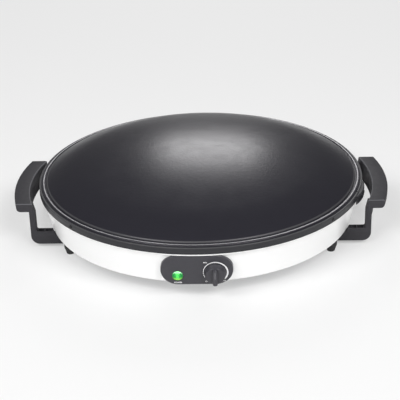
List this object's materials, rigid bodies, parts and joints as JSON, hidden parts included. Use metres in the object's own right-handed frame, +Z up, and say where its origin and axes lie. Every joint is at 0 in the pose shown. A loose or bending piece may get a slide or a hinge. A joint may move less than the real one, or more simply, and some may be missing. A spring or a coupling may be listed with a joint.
{
  "type": "electric pizza maker",
  "caption": "Round electric cooker with a convex non-stick plate on a tapered white base, curved hand grips at both sides, and a front panel with a thermostat knob and pilot lamp.",
  "frame": {"origin": "on the table, under the middle of the plate, at the level of the foot soles", "axes": "+X to the right along the line of the two handles, -Y out of the front where the control panel is, +Z up through the middle of the plate"},
  "size_m": [0.485, 0.4387, 0.112],
  "materials": {
    "plate_coating": "satin black non-stick coating on cast aluminium",
    "band_enamel": "satin black enamel on steel",
    "shell_enamel": "gloss white enamel on drawn steel",
    "cover_steel": "plain zinc-coated sheet",
    "screw_steel": "bright zinc plate",
    "foot_rubber": "matte moulded rubber",
    "handle_plastic": "satin black phenolic",
    "element_sheath": "oxidised steel sheath",
    "reflector_aluminium": "bright rolled sheet",
    "sensor_copper": "drawn copper",
    "panel_plastic": "matte dark grey phenolic",
    "lens_green": "clear green moulded lens",
    "lamp_plastic": "natural nylon",
    "thermostat_plastic": "brown phenolic",
    "knob_plastic": "satin black phenolic",
    "terminal_ceramic": "unglazed porcelain",
    "lead_silicone": "silicone insulation",
    "bush_plastic": "black nylon"
  },
  "bodies": {
    "cooker": {"cooking_plate": "plate_coating", "rim_band": "band_enamel", "band_clasp": "band_enamel", "clasp_screw": "screw_steel", "rim_screws": "screw_steel", "base_shell": "shell_enamel", "bottom_cover": "cover_steel", "cover_screws": "screw_steel", "foot_front_right": "foot_rubber", "foot_rear_right": "foot_rubber", "foot_rear_left": "foot_rubber", "foot_front_left": "foot_rubber", "foot_screws": "screw_steel", "right_handle": "handle_plastic", "left_handle": "handle_plastic", "handle_screws": "screw_steel", "heating_element": "element_sheath", "element_clamps": "cover_steel", "clamp_studs": "screw_steel", "reflector_spacers": "screw_steel", "stud_nuts": "screw_steel", "heat_reflector": "reflector_aluminium", "sensor_bulb": "sensor_copper", "capillary_tube": "sensor_copper", "control_panel": "panel_plastic", "control_plate": "cover_steel", "panel_screws": "screw_steel", "pilot_lens": "lens_green", "pilot_lamp": "lamp_plastic", "thermostat": "thermostat_plastic", "thermostat_nut": "screw_steel", "terminal_block": "terminal_ceramic", "terminal_screws": "screw_steel", "element_lead_left": "lead_silicone", "element_lead_right": "lead_silicone", "thermostat_lead_left": "lead_silicone", "thermostat_lead_right": "lead_silicone", "lamp_lead_left": "lead_silicone", "lamp_lead_right": "lead_silicone", "inlet_bush": "bush_plastic", "inlet_nut": "bush_plastic"},
    "knob": {"thermostat_knob": "knob_plastic", "thermostat_spindle": "screw_steel"}
  },
  "joints": [
    {"name": "thermostat_turn", "type": "hinge", "parent": "cooker", "child": "knob", "pos_m": [0.0215, -0.20478, 0.03763], "axis": [0, 0.9903, 0.1392], "range_deg": [0, 300]}
  ]
}
